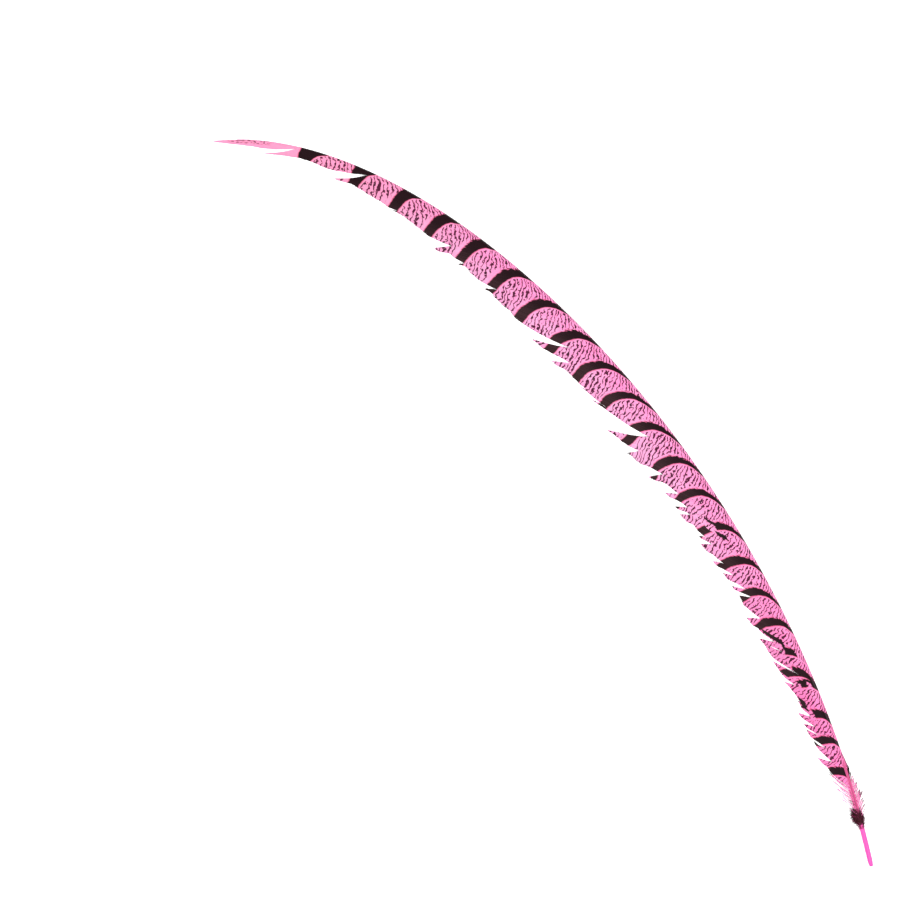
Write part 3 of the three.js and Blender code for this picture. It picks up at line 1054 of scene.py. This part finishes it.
def new_barb(along, angles, ridge_offset, width_at, rng):
    """A barb whose tip meets the vane's outline."""
    barb = dict.fromkeys(BARB_FIELDS, 0.0)
    root_angle, edge_angle = (math.radians(angle) for angle in angles)
    barb.update(along=along, reach=FIRST_REACH, root_angle=root_angle, edge_angle=edge_angle)
    barb.update(split_at=1.0, girth=1.0, ridge_offset=ridge_offset, tone=rng.random())
    for _ in range(FIT_ROUNDS):
        run_along, run_across = barb_course(barb, 1.0)
        barb["reach"] *= clamp(width_at(along + run_along) / run_across, 0.5, 2.0)
    return barb


def closest_pass(barb, along, across):
    """How close the barb passes a point, and at which part of its length."""
    best = (math.inf, 0.0)
    for i in range(1, PASS_STEPS):
        part = i / PASS_STEPS
        run_along, run_across = barb_course(barb, part)
        gap = math.hypot(barb["along"] + run_along - along, run_across - across)
        best = min(best, (gap, part))
    return best


def shorten(barb, factor):
    """Cuts a barb to a part of its length and leaves the rest of its course as it was."""
    barb["edge_angle"] = mix(barb["root_angle"], barb["edge_angle"], factor)
    barb["reach"] *= factor
    barb["split_at"] /= factor


def swung_end(barb):
    """Where a loose barb's end comes to lie, along and across."""
    run_along, run_across = barb_course(barb, 1.0)
    swing = barb["spread"] * barb["reach"] * (1 - barb["split_at"])
    angle = barb["edge_angle"] + barb["spread"]
    return run_along - swing * math.sin(angle), run_across + swing * math.cos(angle)


def aim_barb(barb, part, end):
    """The swing and the part of its length with which a barb ends at a given place."""
    root_along, root_across = barb_course(barb, part)
    wanted_angle = math.atan2(end[1] - root_across, end[0] - root_along)
    wanted_reach = math.dist(end, (root_along, root_across))
    swing, factor = 0.0, 1.0
    for _ in range(AIM_ROUNDS):
        trial = dict(barb, spread=swing, split_at=part)
        shorten(trial, factor)
        along, across = swung_end(trial)
        swing += wanted_angle - math.atan2(across - root_across, along - root_along)
        reach = math.dist((along, across), (root_along, root_across))
        factor = clamp(part + (factor - part) * wanted_reach / reach, part + 0.05, 1.3)
    return swing, factor


def open_gap(barbs, whole, first, part, swing, factor, stretch):
    """Swings the barbs on the quill's side of a gap away from it, in tufts that stay together."""
    for barb, intact in zip(barbs, whole):
        distance = barbs[first]["along"] - barb["along"]
        if 0 <= distance < stretch:
            share = distance / stretch
            barb.update(intact)
            barb["spread"] = swing * TUFT_SWINGS[int(share * len(TUFT_SWINGS))]
            barb["split_at"] = mix(part, 1.0, LOOSE_CREEP * share)
            barb["girth"] *= 1 + LOOSE_GIRTH * abs(barb["spread"])
            shorten(barb, mix(factor, 1.0, share * share))
        elif -LEAN_STRETCH < distance < 0 and barb["spread"] <= 0:
            barb["spread"] -= LEAN_SWING * swing * (1 + distance / LEAN_STRETCH)
            barb["split_at"] = min(barb["split_at"], part)


def open_splits(barbs, line):
    """Opens the listed gaps."""
    whole = [dict(barb) for barb in barbs]
    for from_tip, from_ridge, end_from_tip, end_from_ridge, stretch in SPLITS:
        along = line.length - from_tip * MM
        best = (math.inf, 0.0, 0)
        for i, barb in enumerate(whole):
            if 0 < along - barb["along"] < PASS_WINDOW:
                gap, part = closest_pass(barb, along, from_ridge * MM - barb["ridge_offset"])
                if part < WHOLE_PART:
                    best = min(best, (gap, part, i))
        _, part, first = best
        barb = whole[first]
        end = (line.length - end_from_tip * MM - barb["along"],
               end_from_ridge * MM - barb["ridge_offset"])
        swing, factor = aim_barb(barb, part, end)
        open_gap(barbs, whole, first, part, swing, factor, stretch * MM)


def draw(rng, ranges, worn):
    """A random value from the ranges for a sound and for a worn edge."""
    sound, frayed = (rng.uniform(*limits) for limits in ranges)
    return mix(sound, frayed, worn)


def open_edge(barbs, line, rng):
    """Opens small gaps along the vane's edge, more and deeper ones towards the quill."""
    place = line.length - SMALL_GAPS_FROM_TIP
    while place > SMALL_GAPS_END:
        worn = smoothstep(*WORN_EDGE, line.length - place)
        place -= draw(rng, GAP_SPACING, worn) * MM
        first = min(range(len(barbs)), key=lambda i: abs(barbs[i]["along"] - place))
        part = draw(rng, GAP_START, worn)
        swing = math.radians(draw(rng, GAP_SWING, worn))
        stretch = draw(rng, GAP_STRETCH, worn) * MM
        row = [barb for barb in barbs if 0 <= barbs[first]["along"] - barb["along"] < stretch]
        if all(barb["spread"] == 0 for barb in row):
            open_gap(barbs, barbs, first, part, swing, 1.0, stretch)


class Wander:
    """A smooth random course that stays between -1 and 1, made of a few waves."""

    def __init__(self, rng, lengths):
        self.waves = [(math.tau / length, rng.uniform(0, math.tau)) for length in lengths]

    def at(self, place):
        return sum(math.sin(rate * place + phase) for rate, phase in self.waves) / len(self.waves)


def grow_vane(context, name, barbs, sections, segments, touchdown, folded, material):
    """Grows the barbs of one vane."""
    line = ShaftLine(context.scene.feather_shape)
    settings = context.scene.feather_barbs
    guide = guide_line(line, sections)
    made = grow(root_points(name, barbs, BARB_FIELDS), barb_tree(), {
        "Line": guide, "Material": material, "Segments": segments + 1, "Shaft Length": line.length,
        "Width": settings.width, "Thickness": settings.thickness,
        "Overlap Tilt": settings.overlap_tilt, "Touchdown": touchdown, "Folded": folded,
        "Row Length": line.length / BAKE_ROWS, "Longest": max(barb["reach"] for barb in barbs),
    })
    bpy.data.objects.remove(guide)
    return made


class FEATHER_OT_wide_vane(bpy.types.Operator):
    """Make the wide vane, barb by barb"""

    bl_idname = "feather.wide_vane"
    bl_label = "Wide Vane"

    START = 46 * MM
    END = 913 * MM
    # The part of the vane's width after which it lies on the table.
    TOUCHDOWN = 0.8
    ROOT_LEFT = 0.3
    ROOT_UP = 0.88
    FOOT_HEIGHT = 0.25 * MM
    LEAST_WIDTH = 0.3 * MM
    # Where, in mm from the tip, the barbs turn to the angles that they have at the base and at
    # the tip. Each pair of angles, in degrees, is for a barb's root and for its end.
    NEAR_BASE = (480, 730)
    NEAR_TIP = (150, 95)
    MIDDLE_ANGLES = (38, 8)
    BASE_ANGLES = (42, 26)
    TIP_TURN = (8, 2)
    # The thin, loose barbs at the base: the part of them that is missing, and their girth.
    WISPY_BELOW = 75 * MM
    WISPY_FADE = 7 * MM
    WISPY_MISSING = 0.55
    WISPY_GIRTH = 0.6
    WISPY_GROWTH = (-0.05, 0.45)
    WISPY_TURN = (-10, 12)
    # The lengths of the waves in the barbs' directions and along their ends, how far they go, in
    # degrees and as a part of the reach, and how far single barbs stray from them.
    BEND_WAVES = (31 * MM, 13 * MM, 71 * MM)
    END_WAVES = (9 * MM, 4.3 * MM, 17 * MM)
    BEND_SIZE, BEND_SCATTER = 0.9, 0.12
    END_SIZE, END_SCATTER = 0.012, 0.006
    # How far the barbs' ends stand up in mm, and how much more for every radian of swing.
    LIFT_SCATTER, SWING_LIFT = 0.05, 2 * MM

    def outline(self, from_tip):
        """The outline that barbs with their roots at this distance from the tip grow to."""
        return next(outline for limit, outline in OUTLINES if from_tip < limit)

    def width(self, line, along, outline):
        return read_list(outline, (line.length - along) / MM) * MM

    def sections(self, line, along):
        """Root and foot of the vane at a place: (left, up, width) and (left, up, 0)."""
        radius = line.radius(along)
        width = max(self.width(line, along, outline) for _, outline in OUTLINES[1:])
        left = self.ROOT_LEFT * radius
        root = left, line.height(along) + self.ROOT_UP * radius, width
        return root, (left + width, self.FOOT_HEIGHT, 0.0)

    def angles(self, from_tip):
        near_base = smoothstep(*self.NEAR_BASE, from_tip)
        near_tip = smoothstep(*self.NEAR_TIP, from_tip)
        rows = zip(self.MIDDLE_ANGLES, self.BASE_ANGLES, self.TIP_TURN)
        return [mix(middle, base, near_base) - turn * near_tip for middle, base, turn in rows]

    def barbs(self, line, settings, rng):
        made = []
        count = int((self.END - self.START) / settings.pitch)
        for i in range(count):
            along = self.START + i * settings.pitch
            wispy = smoothstep(self.WISPY_BELOW, self.WISPY_BELOW - self.WISPY_FADE, along)
            if rng.random() < self.WISPY_MISSING * wispy:
                continue
            from_tip = (line.length - along) / MM
            offset = (1 + self.ROOT_LEFT) * line.radius(along) + SHAFT_GAP
            outline = self.outline(from_tip)

            def width_at(place):
                return max(self.width(line, place, outline) - offset, self.LEAST_WIDTH)

            barb = new_barb(along, self.angles(from_tip), offset, width_at, rng)
            barb["girth"] = mix(1.0, self.WISPY_GIRTH, wispy)
            barb["reach"] *= 1 + wispy * rng.uniform(*self.WISPY_GROWTH)
            barb["edge_angle"] += wispy * math.radians(rng.uniform(*self.WISPY_TURN))
            made.append(barb)
        return made

    def loosen(self, barbs, rng):
        """Gives the barbs their small irregularities."""
        bend, ends = Wander(rng, self.BEND_WAVES), Wander(rng, self.END_WAVES)
        for barb in barbs:
            along = barb["along"]
            bent = self.BEND_SIZE * bend.at(along) + rng.gauss(0, self.BEND_SCATTER)
            barb["edge_angle"] += math.radians(bent)
            barb["reach"] *= 1 + self.END_SIZE * ends.at(along) + rng.gauss(0, self.END_SCATTER)
            stray = abs(rng.gauss(0, self.LIFT_SCATTER)) * MM
            barb["lift"] = stray + self.SWING_LIFT * abs(barb["spread"])

    def execute(self, context):
        line = ShaftLine(context.scene.feather_shape)
        settings = context.scene.feather_barbs
        rng = random.Random(settings.seed)
        barbs = self.barbs(line, settings, rng)
        open_splits(barbs, line)
        open_edge(barbs, line, rng)
        self.loosen(barbs, rng)
        material = vane_material("Wide Vane Barbs", context.scene.feather_colours, folded=False)
        made = grow_vane(
            context, "wide_vane_barbs", barbs, lambda along: self.sections(line, along),
            settings.wide_segments, self.TOUCHDOWN, 0.0, material)
        deliver(made, "wide_vane")
        return {"FINISHED"}


class FEATHER_OT_narrow_vane(bpy.types.Operator):
    """Make the narrow vane, folded down along the other side of the shaft"""

    bl_idname = "feather.narrow_vane"
    bl_label = "Narrow Vane"

    START = 44 * MM
    END = 893 * MM
    FOOT_HEIGHT = 0.2 * MM
    # The vane lies further out near the quill.
    SPREAD = 6 * MM
    SPREAD_FROM = 54 * MM
    SPREAD_TO = 110 * MM
    # Closer to the quill the barbs hang together in clumps with gaps between them.
    FRAYED_FROM = 87 * MM
    FRAYED_TO = 77 * MM
    CLUMP = 2.7 * MM
    CLUMP_SHARE = 0.5
    CLUMP_LEAN = 16
    CLUMP_GROWTH = 0.25
    # The barbs' angles at the root and at the end, in degrees, where sound and where frayed.
    ROOT_ANGLES = (32, 34)
    END_ANGLES = (18, 60)

    def sections(self, line, along):
        """Root and foot of the vane at a place: (left, up, width) and (left, up, 0)."""
        radius = line.radius(along)
        spread = self.SPREAD * (1 - smoothstep(self.SPREAD_FROM, self.SPREAD_TO, along))
        root = -0.8 * radius, line.height(along) + 0.5 * radius
        foot = -(radius + SHAFT_GAP + spread), self.FOOT_HEIGHT
        return (*root, math.dist(root, foot)), (*foot, 0.0)

    def barbs(self, line, settings, rng):
        def width_at(place):
            return self.sections(line, place)[0][2]

        made = []
        count = int((self.END - self.START) / settings.pitch)
        for i in range(count):
            along = self.START + i * settings.pitch
            frayed = smoothstep(self.FRAYED_FROM, self.FRAYED_TO, along)
            clump, place = divmod(along / self.CLUMP, 1.0)
            if place > mix(1.0, self.CLUMP_SHARE, frayed):
                continue
            own = random.Random(f"{settings.seed} {clump}")
            lean = own.uniform(-self.CLUMP_LEAN, self.CLUMP_LEAN)
            growth = own.uniform(-self.CLUMP_GROWTH, self.CLUMP_GROWTH)
            own_lean = frayed * (lean + rng.uniform(-2, 2))
            angles = mix(*self.ROOT_ANGLES, frayed), mix(*self.END_ANGLES, frayed) + own_lean
            barb = new_barb(along, angles, SHAFT_GAP, width_at, rng)
            barb["reach"] *= 1 + rng.gauss(0, 0.01) + frayed * (growth + rng.uniform(-0.08, 0.08))
            made.append(barb)
        return made

    def execute(self, context):
        line = ShaftLine(context.scene.feather_shape)
        settings = context.scene.feather_barbs
        barbs = self.barbs(line, settings, random.Random(settings.seed + 1))
        material = vane_material("Narrow Vane Barbs", context.scene.feather_colours, folded=True)
        made = grow_vane(
            context, "narrow_vane_barbs", barbs, lambda along: self.sections(line, along),
            settings.narrow_segments, 1.0, 1.0, material)
        deliver(made, "narrow_vane")
        return {"FINISHED"}


# ------------------------------------------------------------------ shaft and down

class FEATHER_OT_shaft(bpy.types.Operator):
    """Make the shaft, from the open quill end to the tip"""

    bl_idname = "feather.shaft"
    bl_label = "Shaft"

    SIDES = 24
    # Rings as (place in mm, part of the shaft's radius) in the open end, the places of the rings
    # that round that end and of the others, and the last ring, counted on from the tip.
    BORE = ((3.0, 0.45), (1.2, 0.6), (0.0, 0.62))
    END_PLACES = (0.0, 0.3, 0.8, 1.6, 2.6, 4.0, 5.5, 7.0)
    STEP = 3.0
    TIP_CAP = (0.4, 0.5)
    # The groove along the underside, as parts of the radius and of half a turn.
    GROOVE_FROM = 44 * MM
    GROOVE_TO = 70 * MM
    GROOVE_DEPTH = 0.3
    GROOVE_WIDTH = 0.2
    # The section's height as a part of its width.
    FLATNESS = 0.96
    BAKE_ROWS = 8

    def rings(self, line):
        """Places of the rings in mm, with the part of the shaft's radius that each one has."""
        rings = [*self.BORE, *((place, 1.0) for place in self.END_PLACES)]
        length, place = line.length / MM, self.END_PLACES[-1] + self.STEP
        while place < length:
            rings.append((place, 1.0))
            place += self.STEP
        cap, share = self.TIP_CAP
        return [*rings, (length, 1.0), (length + cap, share)]

    def section(self, line, along, share, turn):
        """(left, up) of the surface, with the turn counted from the underside."""
        narrow = math.exp(-(math.sin(turn / 2) / self.GROOVE_WIDTH) ** 2)
        groove = self.GROOVE_DEPTH * narrow * smoothstep(self.GROOVE_FROM, self.GROOVE_TO, along)
        reach = line.radius(along) * share * (1 - groove)
        return -reach * math.sin(turn), line.height(along) - self.FLATNESS * reach * math.cos(turn)

    def add_rings(self, work, line, rings):
        """The rings' vertices, with tone 1 on the upper side, and their places and lefts."""
        tone = work.verts.layers.float.new(TONE_NAME)
        root = work.verts.layers.float.new(ROOT_NAME)
        grid = []
        for i, (place, share) in enumerate(rings):
            row = []
            for j in range(self.SIDES):
                turn = math.tau * j / self.SIDES
                left, up = self.section(line, place * MM, share, turn)
                vertex = work.verts.new(line.place(place * MM, left, up))
                vertex[tone] = smoothstep(0.3, -0.1, math.cos(turn)) if i > len(self.BORE) else 0.0
                vertex[root] = line.length - place * MM
                row.append((vertex, place * MM, left))
            grid.append(row)
        return grid

    def add_skin(self, work, line, grid):
        """The faces between the rings, mapped in rows."""
        markings, bake = work.loops.layers.uv[MAP_NAME], work.loops.layers.uv[BAKE_MAP]
        spans = len(grid) - 1
        for ring in range(spans):
            row = min(int(ring / spans * self.BAKE_ROWS), self.BAKE_ROWS - 1)
            for j in range(self.SIDES):
                corners = ((ring, j), (ring, j + 1), (ring + 1, j + 1), (ring + 1, j))
                face = work.faces.new([grid[i][k % self.SIDES][0] for i, k in corners])
                for loop, (i, k) in zip(face.loops, corners):
                    _, along, left = grid[i][k % self.SIDES]
                    loop[markings].uv = line.length - along, left + line.radius(along) + SHAFT_GAP
                    beside = clamp(i / spans * self.BAKE_ROWS - row)
                    loop[bake].uv = beside, (row + 0.02 + 0.96 * k / self.SIDES) / self.BAKE_ROWS

    def add_end(self, work, line, row, corner):
        """Closes an end with one face, mapped small into a corner."""
        markings, bake = work.loops.layers.uv[MAP_NAME], work.loops.layers.uv[BAKE_MAP]
        face = work.faces.new([vertex for vertex, _, _ in row])
        for i, loop in enumerate(face.loops):
            turn = math.tau * i / len(row)
            _, along, left = row[i]
            loop[markings].uv = line.length - along, left + line.radius(along)
            loop[bake].uv = corner + 0.002 * math.cos(turn), 0.0012 + 0.001 * math.sin(turn)

    def execute(self, context):
        line = ShaftLine(context.scene.feather_shape)
        work = bmesh.new()
        work.loops.layers.uv.new(MAP_NAME)
        work.loops.layers.uv.new(BAKE_MAP)
        grid = self.add_rings(work, line, self.rings(line))
        self.add_skin(work, line, grid)
        self.add_end(work, line, grid[0][::-1], 0.003)
        self.add_end(work, line, grid[-1], 0.997)
        for face in work.faces:
            face.smooth = len(face.verts) == 4
        bmesh.ops.recalc_face_normals(work, faces=work.faces)
        mesh = bpy.data.meshes.new("shaft_horn")
        work.to_mesh(mesh)
        work.free()
        mesh.materials.append(shaft_material(context.scene.feather_colours))
        deliver(add_object("shaft_horn", mesh), "shaft")
        return {"FINISHED"}


class FEATHER_OT_down(bpy.types.Operator):
    """Make the tufts of down on both sides of the quill"""

    bl_idname = "feather.down"
    bl_label = "Down"

    THICKNESS = 0.12 * MM
    SEGMENTS = 11
    # The frame's node, the side, and the strands' reach in mm for each tuft.
    TUFTS = (("wide_side_down", 1.0, 7.2), ("narrow_side_down", -1.0, 3.9))
    # The part of the strands that stand apart, and where the others have their middle.
    LOOSE = 0.04
    MIDDLE = 43 * MM
    # The strands start a little inside the quill's surface.
    ROOT_SHARE = 0.95
    # The line's root and foot, which the down doesn't use.
    NO_VANE = ((0, 0, 1), (1, 0, 0))

    def strand(self, line, rng, slot, longest):
        """One strand: most stand close together, and a few up along the vane's base."""
        loose = rng.random() < self.LOOSE
        along = rng.uniform(50, 70) * MM if loose else self.MIDDLE + rng.gauss(0, 3.4) * MM
        turn = rng.uniform(-20, 105)
        degrees = rng.uniform(25, 60) if loose else rng.uniform(-8, 50) + 0.4 * max(turn, 0)
        turn, depth = math.radians(turn), self.ROOT_SHARE * line.radius(along)
        strand = dict.fromkeys(DOWN_FIELDS, 0.0)
        strand.update(along=along, slot=slot, angle=math.radians(degrees), tone=rng.random())
        strand.update(left=depth * math.sin(turn), up=line.height(along) + depth * math.cos(turn))
        strand.update(reach=rng.uniform(0.45, 1.0) * longest * MM)
        strand.update(rise=rng.uniform(0.2, 1.6) * MM, curl=rng.uniform(0.4, 1.5) * MM)
        strand.update(phase=rng.uniform(0, math.tau), turns=rng.uniform(-9, 9))
        return strand

    def execute(self, context):
        line = ShaftLine(context.scene.feather_shape)
        settings = context.scene.feather_barbs
        material = down_material(context.scene.feather_colours)
        tree = down_tree()
        guide = guide_line(line, lambda along: self.NO_VANE)
        count = settings.down_count
        for tuft, (node, hand, longest) in enumerate(self.TUFTS):
            rng = random.Random(settings.seed + 10 + tuft)
            strands = [self.strand(line, rng, (i + 0.5) / count, longest) for i in range(count)]
            made = grow(root_points(f"{node}_strands", strands, DOWN_FIELDS), tree, {
                "Line": guide, "Material": material, "Segments": self.SEGMENTS + 1,
                "Width": settings.down_width, "Thickness": self.THICKNESS, "Side": hand,
                "Count": float(count), "Radius": line.radius(self.MIDDLE),
                "Axis Height": line.height(self.MIDDLE),
            })
            if hand < 0:
                made.data.flip_normals()
            deliver(made, node)
        bpy.data.objects.remove(guide)
        return {"FINISHED"}


# ------------------------------------------------------------------ stage

class FEATHER_OT_stage(bpy.types.Operator):
    """Make the table, the light and the camera above the feather"""

    bl_idname = "feather.stage"
    bl_label = "Stage"

    TABLE_SIZE = 6.0
    WINDOW_PLACE = (-0.7, 0.3, 2.1)
    WINDOW_SIZE = 1.6
    WINDOW_POWER = 32
    SKY = 1.6
    SENSOR = 36

    def table(self):
        half = self.TABLE_SIZE / 2
        mesh = bpy.data.meshes.new("Table")
        corners = [(-half, -half, 0), (half, -half, 0), (half, half, 0), (-half, half, 0)]
        mesh.from_pydata(corners, [], [(0, 1, 2, 3)])
        mesh.materials.append(table_material())
        add_object("Table", mesh)

    def window(self):
        lamp = bpy.data.lights.new("Window", "AREA")
        lamp.shape = "DISK"
        lamp.size = self.WINDOW_SIZE
        lamp.energy = self.WINDOW_POWER
        made = add_object("Window", lamp)
        made.location = self.WINDOW_PLACE
        made.rotation_euler = (-made.location).to_track_quat("-Z", "Y").to_euler()

    def sky(self, context):
        world = bpy.data.worlds.new("Studio")
        world.use_nodes = True
        background = world.node_tree.nodes["Background"]
        background.inputs["Color"].default_value = (1, 1, 1, 1)
        background.inputs["Strength"].default_value = self.SKY
        context.scene.world = world
        context.scene.view_settings.view_transform = "Standard"

    def camera(self, context):
        settings = context.scene.feather_stage
        line = ShaftLine(context.scene.feather_shape)
        data = bpy.data.cameras.new("Camera")
        data.lens = settings.lens
        data.sensor_width = self.SENSOR
        made = add_object("Camera", data)
        made.location = (line.origin[0] + settings.aim_along_chord,
                         line.origin[1] + settings.aim_beside_chord,
                         settings.view_width * settings.lens / self.SENSOR)
        made.rotation_euler = (0, 0, -settings.chord_angle)
        context.scene.camera = made

    def execute(self, context):
        self.table()
        self.window()
        self.sky(context)
        self.camera(context)
        return {"FINISHED"}


# ------------------------------------------------------------------ the add-on

SETTINGS = {
    "feather_shape": FeatherShape,
    "feather_barbs": BarbSettings,
    "feather_colours": FeatherColours,
    "feather_stage": StageSettings,
}
OPERATORS = (
    FEATHER_OT_shaft, FEATHER_OT_wide_vane, FEATHER_OT_narrow_vane, FEATHER_OT_down, FEATHER_OT_stage,
)


class FEATHER_PT_panel(bpy.types.Panel):
    """The feather's sizes, colours and pieces"""

    bl_idname = "FEATHER_PT_panel"
    bl_label = "Tail Feather"
    bl_space_type = "VIEW_3D"
    bl_region_type = "UI"
    bl_category = "Feather"

    def draw(self, context):
        for name, kind in SETTINGS.items():
            box = self.layout.box()
            box.label(text=kind.__doc__)
            for setting in kind.__annotations__:
                box.prop(getattr(context.scene, name), setting)
        for operator in OPERATORS:
            self.layout.operator(operator.bl_idname)


CLASSES = (*SETTINGS.values(), *OPERATORS, FEATHER_PT_panel)


def register():
    for kind in CLASSES:
        bpy.utils.register_class(kind)
    for name, kind in SETTINGS.items():
        setattr(bpy.types.Scene, name, PointerProperty(type=kind))


def unregister():
    for name in SETTINGS:
        delattr(bpy.types.Scene, name)
    for kind in reversed(CLASSES):
        bpy.utils.unregister_class(kind)


def main():
    register()
    bpy.ops.feather.shaft()
    bpy.ops.feather.wide_vane()
    bpy.ops.feather.narrow_vane()
    bpy.ops.feather.down()
    bpy.ops.feather.stage()


if __name__ == "__main__":
    main()
